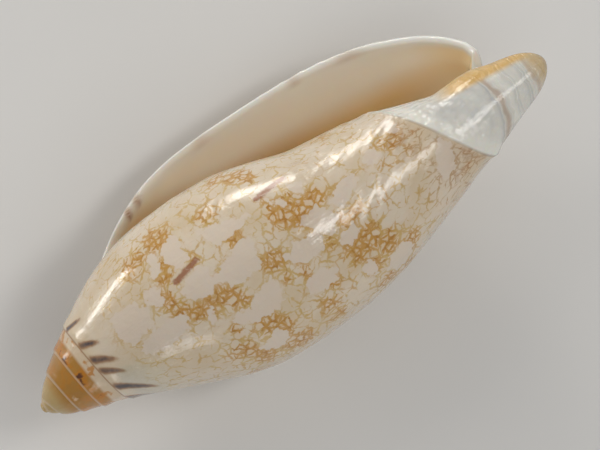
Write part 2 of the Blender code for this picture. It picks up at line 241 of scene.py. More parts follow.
def profile(stage, along):
    """Radius of the whorl sheet made at a stage."""
    start, widest, edge = suture_at(stage), curve(stage, STAGE, WIDEST_AT), edge_at(stage)
    r0, r1, r2 = suture_r(stage), curve(stage, STAGE, WIDEST_R), curve(stage, STAGE, EDGE_R)
    t = np.clip((along - start) / (widest - start), 0, 1)
    fullness = 0.5 - 0.5 * np.cos(2 * np.pi * (stage - RECENT)) * ease(stage, -2.2, -1.0)
    behind = r0 + (r1 - r0) * mix(curve(t, STEP, STRAIGHT), curve(t, STEP, FULL), fullness)
    t = np.clip((along - widest) / (edge - widest), 0, 1)
    lip, old = ease(stage, RECENT, 0.0), 1 - ease(stage, OLDER, RECENT)
    front = (lip * curve(t, FRONT_STEP, FRONT_LIP) + old * curve(t, FRONT_STEP, FRONT_OLD)
             + (1 - lip - old) * curve(t, FRONT_STEP, FRONT_MID))
    return np.where(along <= widest, behind, r2 + (r1 - r2) * front)


READ_FROM, READ_FULLY = -2.9, -2.3     # stages over which the whorl before takes over from the table
for n, stage in enumerate(SUTURE_TABLE_AT):
    if stage > READ_FROM:
        before = float(profile(np.float64(stage - 1), suture_at(np.float64(stage))))
        SUTURE_TABLE[n] = mix(SUTURE_TABLE[n], before, float(ease(stage, READ_FROM, READ_FULLY)))


def body(stage, along):
    """The sheet, swelling where it runs over the core."""
    sheet = profile(stage, along)
    core = core_radius(stage, np.clip(along, CORE_FROM, CORE_TO))
    joined = 0.5 * (sheet + core + np.sqrt((sheet - core) ** 2 + 1.0))
    widest = curve(stage, STAGE, WIDEST_AT)
    return mix(sheet, joined, ease(along, widest + 2, widest + 14))


print("radius of the last suture, mm:", round(float(SUTURE_TABLE[-1]), 1))

# %% [markdown]
# ## Pleats, and the ripples of growth
# A volute's core carries slanting pleats inside the aperture. The outside isn't quite even either: each
# pause in growth leaves a shallow ripple along the old lip, and these are what break the highlights of a real
# shell into jagged streaks. They are about a tenth of a millimetre high, and real geometry here, because a
# bump alone leaves the long highlights too straight.

# %% Pleats and ripples
RIPPLE_HEIGHT = 0.06
RIPPLES_A_TURN = 25.0
RIPPLE_LEAN, LEAN_FROM = 0.009, 56.0   # turns per mm that the growth lines lean toward the lip, from here on
SHOULDER_HEIGHT, SHOULDER_AT = 0.28, 0.55        # of the thickened edge just past each suture, mm
COLLAR_WIDTH = 3.2
COVERED_TO = 27.5                      # the last whorl covers the one before at least from here on


def pleats(stage, along):
    depth, share_along = ease(-stage, 0.955, 1.03), along / edge_at(stage)
    return PLEAT_HEIGHT * depth * sum(np.exp(-((share_along - at) / PLEAT_WIDTH) ** 2) for at in PLEATS)


def ripples(stage, along):
    """Low growth ripples, which lean a little and fade in and out."""
    leaned = stage + RIPPLE_LEAN * np.maximum(along - LEAN_FROM, 0.0)
    lean = leaned * RIPPLES_A_TURN + 0.035 * along + 0.25 * np.sin(along / 6.0)
    fade = 0.55 + 0.45 * np.sin(along / 9.0 + 9.0 * stage)
    wave = np.sin(2 * np.pi * lean) + 0.6 * np.sin(2 * np.pi * 1.9 * lean + 1.1) + 0.4 * np.sin(5.1 * lean)
    return RIPPLE_HEIGHT * wave * fade * (0.4 + 0.6 * ease(along, 45, 75)) * outermost(stage)


def collar(stage):
    """Width of the strip by the suture where the inner surface starts."""
    return COLLAR_WIDTH * np.clip(curve(stage, STAGE, WIDEST_R) / WIDEST_R[-1], 0.3, 1)


def ring_at(stage):
    """Where the sheet ends on the core: the tongue's root outside, further back inside the shell."""
    inside = edge_at(np.minimum(stage + 1, 0)) - RING_BACK
    return mix(RING_AT, inside, ease(-1 - stage, 0.0, 0.15))


def next_suture_at(stage):
    after = suture_at(stage + 1)
    return np.where(stage > -1, np.minimum(after, COVERED_TO), after)


def share(row):
    """How far a row is down the body part of the profile."""
    return np.clip((row - JOIN_ROW) / ROWS_BODY, 0, 1)


def front_share(row):
    """How far a row is past the edge of the fasciole."""
    return np.clip((row - EDGE_ROW) / ROWS_FRONT, 0, 1)


def sheet_at(stage, row):
    """Distance along the axis of the rows from the suture to the fasciole edge."""
    start, after = suture_at(stage), next_suture_at(stage)
    first, edge = after + collar(np.minimum(stage + 1, 0)), edge_at(stage)
    t_spire, t_collar = np.clip(row / ROWS_SPIRE, 0, 1), np.clip((row - ROWS_SPIRE) / ROWS_COLLAR, 0, 1)
    return start + (after - start) * t_spire + (first - after) * t_collar + (edge - first) * share(row)


def rounded(stage, along, radius, corner_at, corner_r):
    """Draws the front corner of the finished lip back into a round."""
    near = (along - corner_at) ** 2 + (radius - corner_r) ** 2
    return along - CORNER_ROUND * ease(stage, LIP_FROM, 0.0) * np.exp(-near / 2.5)


print("pleats:", len(PLEATS), "and ripples of", RIPPLE_HEIGHT, "mm")

# %% [markdown]
# ## Outside of the sheet
# Four surfaces close the shell, and the outside of the sheet comes first. From the suture it crosses the
# strip that the next whorl covers, then runs over the body to the fasciole and down the core. Near the lip
# the front rows lie further back in growth, which cuts the notch that the animal's siphon came out of.

# %% Outside of the sheet
def whorl(stage, row):
    """Distance along the axis and radius of the outer surface."""
    along, after = sheet_at(stage, row), next_suture_at(stage)
    edge, ring = edge_at(stage), ring_at(stage)
    t_spire, t_front = np.clip(row / ROWS_SPIRE, 0, 1), front_share(row)
    at_edge = body(stage, edge)
    late_lip = ease(stage, LIP_FROM, 0.0)
    tail_at = edge + (ring - edge) * t_front ** mix(1.0, 1.8, late_lip)
    tail = (core_radius(stage, tail_at)
            + (at_edge - core_radius(stage, edge)) * (1 - t_front) ** mix(1.5, 1.1, late_lip))
    r0, r1 = suture_r(stage), suture_r(np.minimum(stage + 1, 0))
    band = mix(r0, r1, t_spire) + 0.12 * (r1 - r0) * np.sin(np.pi * t_spire)
    sheet = body(stage, along) + ripples(stage, along) * ease(share(row), 0.0, 0.12)
    late = ease(stage, -3.3, -2.7)
    miss = np.where(stage <= -1, r1 - profile(stage, after), 0.0)
    sheet = np.where(row <= ROWS_SPIRE, mix(band, sheet + miss * t_spire, late), sheet)
    past = (along - suture_at(stage)) / SHOULDER_AT
    shoulder = SHOULDER_HEIGHT * past * np.exp(1 - past) * (1 - t_spire) * ease(stage, -4.2, -3.0)
    sheet = sheet + np.where(row < ROWS_SPIRE, shoulder, 0.0)
    radius = np.where(row > EDGE_ROW, tail + ripples(stage, edge) * (1 - t_front) ** 2, sheet)
    along = np.where(row > EDGE_ROW, tail_at, along)
    raised = pleats(stage, along) * np.where(row > EDGE_ROW, np.minimum(1, 3 * (1 - t_front)),
                                             ease(share(row), 0.4, 0.6))
    raised = raised + (FASCIOLE_HEIGHT * np.exp(-((along - edge) / 1.0) ** 2)
                       * ease(-stage, 0.05, 0.3) * outermost(stage))
    return rounded(stage, along, radius, edge, at_edge), radius + raised


def receded(stage, row):
    """The notch: near the lip the front rows lie further back in growth."""
    return stage - NOTCH_TURNS * np.sin(np.pi * front_share(row)) ** 2 * np.clip(1 + stage / 0.3, 0, 1) ** 2


def outside(stage, row):
    stage = receded(stage, row)
    return place(stage, *whorl(stage, row))


rows = np.arange(LAST + 1.0)
on_lip = 0 * rows
print("the finished lip runs", round(float(np.ptp(outside(on_lip, rows)[:, 0]))), "mm along the axis")

# %% [markdown]
# ## Lining of the aperture
# The lining lies one wall thickness inside the outer surface, measured square to it. It opens out of the
# corner by the suture and never comes closer than a fraction of a millimetre to the whorl below, so the two
# sheets can't cut through each other.

# %% Lining of the aperture
def wall_line(stage, along):
    """Radius of the surface one turn back, which the cavity lies on, at a given distance along the axis."""
    back = stage - 1
    edge, ring = edge_at(back), ring_at(back)
    t = np.clip((along - edge) / (ring - edge), 0, 1)
    tail = core_radius(back, along) + (body(back, edge) - core_radius(back, edge)) * (1 - t) ** 1.5
    raised = pleats(back, along) * np.minimum(1, 3 * (1 - t))
    return np.where(along <= edge, body(back, along), tail) + raised


SMALLEST_GAP = 0.3


def lining(stage, row):
    """Inner surface of the outer wall."""
    wall = mix(LIP_WALL, WALL, ease(-stage, 0.0, 0.06))
    start, edge = suture_at(stage) + collar(stage), edge_at(stage)
    corner = edge - wall
    t = np.clip((sheet_at(stage, row) - suture_at(stage)) / (edge - suture_at(stage)), 0, 1)
    along = start + (corner - start) * t
    slope = (body(stage, along + 0.2) - body(stage, along - 0.2)) / 0.4
    gap = body(stage, along) - wall * np.sqrt(1 + slope ** 2) - wall_line(stage, along)
    opened = 1 - (1 - np.clip(t / 0.10, 0, 1)) ** 2
    radius = wall_line(stage, along) + np.maximum(gap, SMALLEST_GAP) * opened
    corner_slope = (body(stage, corner) - body(stage, corner - 0.4)) / 0.4
    corner_r = body(stage, corner) - wall * np.sqrt(1 + corner_slope ** 2)
    corner_r = wall_line(stage, corner) + np.maximum(corner_r - wall_line(stage, corner), SMALLEST_GAP)
    ring = ring_at(stage - 1)
    _, ring_r = whorl(stage - 1, np.full_like(row, LAST))
    along = np.where(row > EDGE_ROW, mix(corner, ring, front_share(row)), along)
    radius = np.where(row > EDGE_ROW, mix(corner_r, ring_r, front_share(row)), radius)
    return rounded(stage, along, radius, corner, corner_r), radius


def inside(stage, row):
    stage = receded(stage, row)
    return place(stage, *lining(stage, row))


across_lip = outside(on_lip, rows) - inside(on_lip, rows)
print("the lip's edge is about", round(float(np.median(np.linalg.norm(across_lip, axis=1))), 1), "mm wide")

# %% [markdown]
# ## Rim, tongue and first whorl
# The rim joins outside and lining with a half round, since a volute's lip is smooth to the touch. The tongue
# is the core's own end: the ring where the sheet stops, drawn together along the core's oval. A small dome
# closes the first whorl.

# %% Rim of the lip, tongue and first whorl
def rim(row, across):
    """The rounded edge of the lip, from its outer side to its inner side."""
    outer, inner = outside(0 * row, row), inside(0 * row, row)
    root = outside(0 * row - 1, ROWS_SPIRE + across * ROWS_COLLAR)
    width = np.linalg.norm(outer - inner, axis=1)[:, None]
    beta = angle(receded(0 * row, row))
    ahead = np.stack([0 * beta, -np.sin(beta), np.cos(beta)], axis=1)
    edge = mix(outer, inner, across[:, None]) + ahead * width * 0.4 * np.sin(np.pi * across)[:, None]
    return np.where((row == 0)[:, None], root, edge)


def tongue(stage, t):
    """The rounded front end beyond the ring."""
    ring = outside(stage, np.full_like(stage, LAST))
    along = RING_AT + (LENGTH - RING_AT) * np.sin(np.pi / 2 * t)
    cy0, cz0, hy0, hz0 = core_sides(np.full_like(t, RING_AT))
    cy, cz, hy, hz = core_sides(along)
    end = np.clip((along - TONGUE_ROUND_FROM) / (LENGTH - TONGUE_ROUND_FROM), 0, 1)
    close = np.where(t >= 1, 0.0, np.sqrt(1 - end ** 3))
    return np.stack([along, cy + (ring[:, 1] - cy0) * hy / hy0 * close,
                     cz + (ring[:, 2] - cz0) * hz / hz0 * close], axis=1)


def nucleus(stage, t):
    """The small dome over the first whorl."""
    quarter = np.pi / 2 * t
    return place(stage, SUTURE_AT[0] * (1 - np.sin(quarter)), np.where(t >= 1, 0.0, np.cos(quarter)))


tip = tongue(np.array([0.0]), np.array([1.0]))[0]
print("front end at", [round(float(value), 1) for value in tip], "mm")

# %% [markdown]
# ## From grids to one closed mesh
# `bmesh.ops.create_grid` makes each patch flat, and its points are then moved onto their surface. While a
# patch is still apart, every face corner is told its growth stage, its row and which side it is on. Merging
# the doubles joins the patches, and the corners keep what they were told, so the paint later knows where it
# is.

# %% Patches
NOTES = ("turn", "row", "side")
OUTSIDE, RIM, LINING, TONGUE = 0.0, 1.0, 2.0, 3.0


def patch(bm, columns, rows, surface, note):
    """A grid moved onto a surface of two parameters from 0 to 1, with a note on each face corner."""
    made = bmesh.ops.create_grid(bm, x_segments=columns, y_segments=rows, size=0.5)["verts"]
    at = np.array([(v.co.x + 0.5, v.co.y + 0.5) for v in made])
    u, v = np.round(at[:, 0] * columns) / columns, np.round(at[:, 1] * rows) / rows
    for index, (vert, point) in enumerate(zip(made, surface(u, v))):
        vert.co = point
        vert.index = index
    noted = [np.broadcast_to(value, u.shape).tolist() for value in note(u, v)]
    layers = [bm.loops.layers.float[name] for name in NOTES]
    for face in {face for vert in made for face in vert.link_faces}:
        for loop in face.loops:
            for layer, values in zip(layers, noted):
                loop[layer] = values[loop.vert.index]


def close_holes(bm):
    bmesh.ops.holes_fill(bm, edges=[e for e in bm.edges if e.is_boundary], sides=0)
    bmesh.ops.triangulate(bm, faces=[f for f in bm.faces if len(f.verts) > 4])


def grow():
    """The whole shell as one closed mesh, in millimetres, along its axis."""
    bm = bmesh.new()
    for name in NOTES:
        bm.loops.layers.float.new(name)
    inner = round(COLUMNS * CAVITY_TURNS)
    depth = inner / COLUMNS
    rows_in = LAST - JOIN_ROW
    patch(bm, COLUMNS, LAST, lambda u, v: outside(u - 1, v * LAST),
          lambda u, v: (receded(u - 1, v * LAST), v * LAST, OUTSIDE))
    patch(bm, SPIRE_TURNS * COLUMNS, ROWS_SPIRE,
          lambda u, v: outside(FIRST + u * SPIRE_TURNS, v * ROWS_SPIRE),
          lambda u, v: (FIRST + u * SPIRE_TURNS, v * ROWS_SPIRE, OUTSIDE))
    patch(bm, inner, rows_in, lambda u, v: outside(-1 - depth + u * depth, JOIN_ROW + v * rows_in),
          lambda u, v: (-1 - depth + u * depth, JOIN_ROW + v * rows_in, OUTSIDE))
    patch(bm, inner, LAST, lambda u, v: inside(-depth + u * depth, v * LAST),
          lambda u, v: (receded(-depth + u * depth, v * LAST), v * LAST, LINING))
    patch(bm, LAST, ROWS_COLLAR, lambda u, v: rim(u * LAST, v),
          lambda u, v: (receded(0 * u, u * LAST), u * LAST, RIM))
    patch(bm, COLUMNS, ROWS_TIP, lambda u, v: tongue(u - 1, v), lambda u, v: (u - 1, LAST + v, TONGUE))
    patch(bm, COLUMNS, ROWS_NUCLEUS, lambda u, v: nucleus(u + FIRST, v),
          lambda u, v: (u + FIRST, -v, OUTSIDE))
    bmesh.ops.remove_doubles(bm, verts=bm.verts, dist=1e-4)
    bmesh.ops.dissolve_degenerate(bm, edges=bm.edges, dist=1e-5)
    close_holes(bm)
    bmesh.ops.recalc_face_normals(bm, faces=bm.faces)
    return bm


bm = grow()
open_edges = sum(not e.is_manifold for e in bm.edges)
print("fine mesh:", len(bm.faces), "faces,", open_edges, "open edges")

# %% [markdown]
# ## Laying the shell down
# The mesh is turned to its resting pose and the small flat spot is cut. Before that, each point's place
# along the axis is kept as an attribute: the paint can then say "12 mm from the apex" whatever way the shell
# lies.

# %% Rest on the floor
place_layer = bm.verts.layers.float_vector.new("spot")
for vert in bm.verts:
    vert[place_layer] = vert.co
turn_down = Matrix.Scale(MM, 4) @ LAID.to_4x4()
bmesh.ops.transform(bm, matrix=turn_down, verts=bm.verts)
low = min(v.co.z for v in bm.verts) + FLAT_DEPTH * MM
bmesh.ops.bisect_plane(bm, geom=bm.verts[:] + bm.edges[:] + bm.faces[:], dist=1e-7,
                       plane_co=(0, 0, low), plane_no=(0, 0, -1), clear_outer=True)
close_holes(bm)
corners = np.array([v.co for v in bm.verts])
middle = (corners.min(0) + corners.max(0)) / 2
cad_middle = (np.array(cad_box[0]) + np.array(cad_box[1])) / 2
SHIFT = Vector((cad_middle[0] - middle[0], cad_middle[1] - middle[1], -low))
bmesh.ops.translate(bm, verts=bm.verts, vec=SHIFT)
bmesh.ops.recalc_face_normals(bm, faces=bm.faces)


def add(name, data):
    """A new object in the scene, at the origin."""
    made = bpy.data.objects.new(name, data)
    bpy.context.scene.collection.objects.link(made)
    return made


def add_mesh(name, bm):
    mesh = bpy.data.meshes.new(name)
    bm.to_mesh(mesh)
    bm.free()
    return add(name, mesh)


shell = add_mesh("shell_skin", bm)
shell_mesh = shell.data
shell_mesh.shade_smooth()
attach(shell, "root")
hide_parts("shell")
print("shell_skin:", len(shell_mesh.vertices), "points,", len(shell_mesh.polygons), "faces")

# %% [markdown]
# ## The pattern as distances
# The marks follow the sheet, so they are laid out on a chart of it: the arc grown so far across, the
# distance from the apex down. Each corner of the mesh gets numbers that change smoothly, such as how far it
# is from the nearest white tent. The paint draws crisp edges from those, however coarse the grid is.

# %% Chart of the sheet
MEAN_RADIUS = 0.93                                  # of a whorl, as a share of its widest
GROWN_RADIUS = MEAN_RADIUS * curve(SUTURE_TABLE_AT, STAGE, WIDEST_R)
GROWN = np.cumsum(2 * np.pi * (GROWN_RADIUS[1:] + GROWN_RADIUS[:-1]) / 2 * TABLE_STEP)
GROWN = np.concatenate([[0.0], GROWN])
VIEW_CENTRE, VIEW_DISTANCE = (54.4, 1.1), 650.0     # what the camera looks at, from how far, mm
SEEN_FROM, SEEN_TO = -0.93, -0.40                   # stages of the last whorl that face the camera


def grown(stage):
    """Arc grown by a stage, mm."""
    return np.interp(stage, SUTURE_TABLE_AT, GROWN)


def seen(x, y):
    """Place on the chart of a spot that the camera sees x mm along the shell and y mm toward the lip."""
    stages = np.linspace(SEEN_FROM, SEEN_TO, 300)
    along = np.full_like(stages, x)
    for _ in range(2):
        spots = place(stages, along, body(stages, along))
        nearer = VIEW_DISTANCE / (VIEW_DISTANCE - spots[:, 2])
        along = VIEW_CENTRE[0] + (x - VIEW_CENTRE[0]) / nearer
    shown_y = VIEW_CENTRE[1] + (spots[:, 1] - VIEW_CENTRE[1]) * nearer
    best = np.argmin(abs(shown_y - y))
    return float(grown(stages[best])), float(along[best])


def corner_values(name):
    values = np.empty(len(shell_mesh.loops), np.float32)
    shell_mesh.attributes[name].data.foreach_get("value", values)
    return values.astype(float)


def keep(name, values):
    """Writes one number for each face corner."""
    made = shell_mesh.attributes.new(name, "FLOAT", "CORNER")
    made.data.foreach_set("value", np.asarray(values, np.float32))


turn, row, side = (corner_values(name) for name in NOTES)
spot = np.empty(len(shell_mesh.vertices) * 3, np.float32)
shell_mesh.attributes["spot"].data.foreach_get("vector", spot)
owner = np.empty(len(shell_mesh.loops), np.int32)
shell_mesh.loops.foreach_get("vertex_index", owner)
spot = spot.reshape(-1, 3).astype(float)[owner]
along, arc = spot[:, 0], grown(turn)
print("the last whorl has grown", round(float(grown(0) - grown(-1))), "mm of arc")

# %% [markdown]
# ## White tents
# The tents are three- and four-cornered white islands. Those on the side that the camera sees are listed one
# by one, and the rest are scattered with a fixed seed, each a few millimetres from the next.

# %% Tents
SEEN_TENTS = (
    ((30.2, 12.0), (31.1, 10.6), (30.2, 7.7), (28.0, 7.5)),
    ((31.9, 10.8), (34.3, 12.4), (35.7, 11.7), (35.5, 7.2), (32.9, 6.9), (31.9, 8.2)),
    ((31.4, 3.8), (36.4, 5.3), (37.4, 1.4), (35.3, -0.3), (32.6, 0.5), (31.4, 2.4)),
    ((38.1, 2.6), (42.9, 4.1), (45.0, 5.1), (46.7, 3.8), (45.0, 0.9), (46.0, -0.7), (39.8, -1.4),
     (38.1, 0.0)),
    ((35.3, -5.1), (39.8, -5.8), (40.5, -4.8), (45.0, -3.4), (46.0, -5.8), (43.6, -8.6), (38.8, -8.2),
     (36.7, -6.9)),
    ((39.1, 10.3), (44.6, 8.9), (48.4, 7.7), (46.0, 6.5), (40.5, 6.2)),
    ((32.3, -1.7), (34.1, -2.1), (33.6, -4.5), (32.6, -4.1)),
    ((36.4, -12.4), (38.1, -13.4), (39.8, -14.4), (42.5, -12.7), (41.2, -11.3)),
    ((48.9, -2.1), (51.5, -0.9), (55.8, -1.0), (56.6, -2.4), (55.2, -4.8), (52.3, -5.1), (49.8, -3.8)),
    ((49.4, -7.7), (52.3, -7.2), (55.2, -8.2), (54.6, -10.3), (51.5, -10.6), (49.2, -9.6)),
    ((52.0, 8.1), (53.5, 7.2), (54.6, 5.1), (52.8, 5.8)),
    ((55.8, 8.2), (58.7, 7.2), (58.3, 5.1), (57.0, 6.2)),
    ((54.2, 1.5), (58.7, 2.2), (59.7, 0.3), (61.3, -0.9), (59.9, -2.1), (58.3, -3.4), (56.3, -1.7)),
    ((60.7, 1.4), (63.1, 3.1), (66.1, 3.8), (67.3, 2.1), (65.2, 0.7), (62.8, -0.7), (61.4, 0.0)),
    ((58.3, -5.1), (60.4, -4.1), (62.1, -3.8), (62.5, -5.5), (60.1, -6.9), (58.9, -6.5)),
    ((58.7, -11.3), (60.4, -10.6), (61.4, -11.3), (60.7, -13.4), (59.4, -13.0)),
    ((62.8, -13.7), (64.2, -12.0), (67.3, -11.3), (68.6, -12.4), (67.6, -13.7), (63.8, -14.8)),
    ((69.0, 3.4), (70.7, 4.8), (72.1, 5.1), (72.9, 3.1), (71.0, 2.1)),
    ((75.5, 7.9), (76.9, 7.5), (77.7, 5.8), (77.6, 4.5), (75.5, 5.5)),
    ((79.3, -4.1), (80.6, -2.1), (82.4, -0.3), (83.4, -1.7), (83.0, -4.1), (81.7, -6.2), (79.3, -6.9)),
    ((18.5, 6.2), (22.6, 6.9), (25.0, 4.3), (24.0, 1.4), (19.2, 0.3), (17.8, 3.1)),
    ((20.2, -0.3), (25.7, 0.7), (29.5, 0.0), (29.2, -2.4), (24.0, -3.4), (19.9, -2.1)),
    ((25.4, 6.9), (28.3, 6.2), (27.5, 3.1), (25.7, 3.4)),
)
TENT_SPACING = 5.2
TENT_TRIES = 6000
TENTS_FROM, TENTS_TO = 19.0, 88.0
FAR_AWAY = 9.0                         # stands for any greater distance, mm


def scattered_tents():
    """Random tents on the chart, away from the side that the camera sees."""
    rng = np.random.default_rng(11)
    first, last = grown(-1.0), grown(0.0)
    hidden = (grown(SEEN_FROM), grown(SEEN_TO))
    centres, tents = [], []
    for _ in range(TENT_TRIES):
        centre = np.array([rng.uniform(first, last), rng.uniform(TENTS_FROM, TENTS_TO)])
        if hidden[0] < centre[0] < hidden[1] or any(np.hypot(*(centre - c)) < TENT_SPACING for c in centres):
            continue
        centres.append(centre)
        sides = rng.integers(3, 5)
        start, size = rng.uniform(0, 6.28), rng.uniform(1.3, 3.0)
        turns = start + np.arange(sides) * 6.283 / sides + rng.uniform(-0.35, 0.35, sides)
        reach = size * rng.uniform(0.8, 1.2, sides)
        tents.append(np.stack([centre[0] + reach * np.cos(turns),
                               centre[1] + 1.15 * reach * np.sin(turns)], axis=1))
    return tents


def to_segment(px, py, start, end):
    """Squared distance from points to the line between two places on the chart."""
    (ax, ay), (bx, by) = start, end
    t = ((px - ax) * (bx - ax) + (py - ay) * (by - ay)) / ((bx - ax) ** 2 + (by - ay) ** 2)
    t = np.clip(t, 0, 1)
    return (px - ax - t * (bx - ax)) ** 2 + (py - ay - t * (by - ay)) ** 2


TENT_REACH = 4                         # how far round a tent distances are worked out, mm


def tent_distance(x, y, tents):
    """Distance to the nearest tent's outline in mm, negative inside it."""
    nearest = np.full(len(x), FAR_AWAY)
    for tent in tents:
        box = tent.min(0) - TENT_REACH, tent.max(0) + TENT_REACH
        near = np.flatnonzero((x > box[0][0]) & (x < box[1][0]) & (y > box[0][1]) & (y < box[1][1]))
        px, py = x[near], y[near]
        distance, within = np.full(len(near), FAR_AWAY ** 2), np.zeros(len(near), bool)
        for (ax, ay), (bx, by) in zip(tent, np.roll(tent, -1, axis=0)):
            distance = np.minimum(distance, to_segment(px, py, (ax, ay), (bx, by)))
            crossed = (ay > py) != (by > py)
            within ^= crossed & (px < (bx - ax) * (py - ay) / (by - ay + 1e-12) + ax)
        signed = np.sqrt(distance) * np.where(within, -1, 1)
        nearest[near] = np.minimum(nearest[near], signed)
    return nearest


tents = [np.array([seen(*point) for point in tent]) for tent in SEEN_TENTS] + scattered_tents()
keep("tent", tent_distance(arc, along, tents))
print(len(tents), "tents,", len(SEEN_TENTS), "of them placed by hand")

# %% [markdown]
# ## The lace round the tents
# Between the tents the net is dense in some places and nearly gone in others. On the side that shows, soft
# spots listed one by one say where it is dense. Elsewhere they are scattered with a fixed seed, and stronger
# in two spiral bands, as on most shells of this kind.

# %% Lace
LACE_SPOTS = (                     # x, y as seen, radius, strength
    (26.5, 11.8, 2.4, 0.8), (28.5, 12.2, 1.6, 0.6), (32.6, 13.4, 2.2, 1.0), (33.5, 11.8, 1.4, 0.8),
    (30.9, 8.6, 1.3, 0.8), (30.2, 6.7, 1.3, 0.9), (36.0, 7.0, 1.0, 0.5), (17.2, 2.6, 2.2, 0.35),
    (28.3, 3.4, 1.8, 0.8), (29.2, 1.0, 1.8, 0.8), (31.6, -1.2, 1.6, 0.9), (35.2, -1.0, 2.2, 0.9),
    (38.0, -2.6, 1.6, 1.0), (39.8, -4.3, 1.0, 0.7), (35.2, -7.4, 1.2, 0.6), (34.3, -11.2, 2.2, 0.9),
    (40.3, -10.0, 2.0, 1.1), (42.3, -11.6, 1.8, 1.0), (36.9, -14.0, 2.4, 1.0), (43.2, -15.2, 2.4, 1.2),
    (34.3, -15.3, 1.6, 0.8), (42.0, 11.8, 2.2, 0.55), (46.8, 15.8, 1.8, 0.8), (49.8, 14.6, 2.0, 0.9),
    (51.6, 12.9, 1.6, 0.8), (43.5, 5.4, 1.8, 0.6), (47.4, -1.7, 2.0, 0.8), (45.5, -1.4, 1.2, 0.5),
    (47.4, -5.5, 1.2, 0.4), (50.6, -6.3, 1.4, 0.5), (51.0, -12.9, 2.0, 0.75), (51.5, -15.2, 1.6, 0.7),
    (53.4, 4.4, 2.6, 1.2), (56.2, 2.8, 2.4, 1.2), (59.3, 3.4, 1.8, 0.9), (54.0, -2.6, 1.5, 0.7),
    (56.8, -4.6, 1.4, 0.6), (61.4, -2.6, 1.6, 0.8), (63.8, -2.0, 1.6, 0.7), (60.3, -8.2, 2.4, 1.2),
    (63.2, -7.2, 2.4, 1.1), (65.2, -9.4, 2.0, 0.8), (61.4, -11.9, 1.8, 0.9), (65.0, -10.6, 2.2, 0.8),
    (68.6, -11.9, 1.9, 1.0), (61.4, -15.2, 2.0, 0.9), (65.8, -14.8, 1.8, 0.8), (53.2, -10.2, 1.8, 0.7),
    (75.5, 4.2, 2.6, 0.61), (77.6, 1.4, 2, 0.39), (73.6, 1.2, 1.8, 0.33), (81.2, -5.6, 2.2, 0.39),
    (85.6, -4.6, 2.2, 0.5), (84, -7.2, 2.2, 0.5), (66.2, 11.2, 2.2, 0.35), (71.3, 10.5, 1.8, 0.35),
    (79, 3.2, 1.6, 0.33), (70.0, -3.0, 1.6, 0.35), (75, -8, 1.8, 0.17),
)
LACE_SPACING, LACE_STRAY = 6.2, 2.6     # of the loose spots of net on the sides out of sight, mm
LACE_FROM, LACE_REACH = 22.0, 8
BANDS = ((34.0, 7.0), (62.0, 9.0))      # centre along the shell and half width, mm


def soft_spots(spots, x, y):
    """The strongest of some soft spots, each given by its place as seen, its radius and its strength."""
    total = np.zeros(len(x))
    for spot_x, spot_y, radius, strength in spots:
        arc_at, along_at = seen(spot_x, spot_y)
        away = (x - arc_at) ** 2 + (y - along_at) ** 2
        total = np.maximum(total, strength * np.exp(-away / radius ** 2))
    return total


def lace_density(x, y):
    """How dense the net is, from 0 to about 1."""
    rng = np.random.default_rng(3)
    loose = np.zeros(len(x))
    for arc_at in np.arange(x.min(), x.max(), LACE_SPACING):
        for along_at in np.arange(LACE_FROM, TENTS_TO, LACE_SPACING):
            px = arc_at + rng.uniform(-LACE_STRAY, LACE_STRAY)
            py = along_at + rng.uniform(-LACE_STRAY, LACE_STRAY)
            band = sum(np.exp(-((py - at) / half) ** 2) for at, half in BANDS)
            radius, strength = rng.uniform(1.3, 2.9), rng.uniform(0.05, 0.42) + 0.5 * band
            near = (np.abs(x - px) < LACE_REACH) & (np.abs(y - py) < LACE_REACH)
            spot = strength * np.exp(-((x[near] - px) ** 2 + (y[near] - py) ** 2) / radius ** 2)
            loose[near] = np.maximum(loose[near], spot)
    first, last = grown(SEEN_FROM), grown(SEEN_TO)
    shown = ease(x, first - 1.0, first + 1.5) * (1 - ease(x, last - 1.5, last + 1.0))
    return mix(loose, soft_spots(LACE_SPOTS, x, y), shown)


keep("lace", lace_density(arc, along))
print(len(LACE_SPOTS), "spots of lace")

# %% [markdown]
# ## Streaks, bars, stains and where each place is
# Short dark streaks hang below the last suture, leaning with the growing edge. Two reddish bars mark old
# pauses in growth, soft brown stains lie near the front end, and the pattern ends in marks on the lip. More
# numbers tell the paint how far a corner is below the suture, past the edge of the fasciole and into the
# aperture, and whether it is on the lining.

# %% Streaks and bars
STREAKS = ((10.7, 8.9, 0.7, 3.6, 0.95), (11.5, 5.3, 0.85, 3.8, 0.8), (12.4, 1.8, 0.95, 4.6, 0.7),
           (12.3, -0.4, 0.85, 4.2, 0.75), (13.1, -4.1, 0.95, 6.6, 1.0), (14.2, -6.9, 0.95, 7.0, 1.0),
           (15.3, -8.5, 0.8, 7.2, 0.9))      # x, y as seen, width, length, darkness
STREAK_LEAN = 0.0100               # turns per mm
STREAK_STEP = 0.042                # turns between streaks on the sides that the camera doesn't see
STREAK_RADIUS = 10.5               # how far from the axis the streaks lie, mm
BARS = (((31.3, 5.2), (36.3, 6.4)), ((50.6, 9.1), (56.6, 9.4)))   # ends as seen
BAR_WIDTH = 0.55


def below_suture():
    return np.where(side == OUTSIDE, along - suture_at(turn), FAR_AWAY)


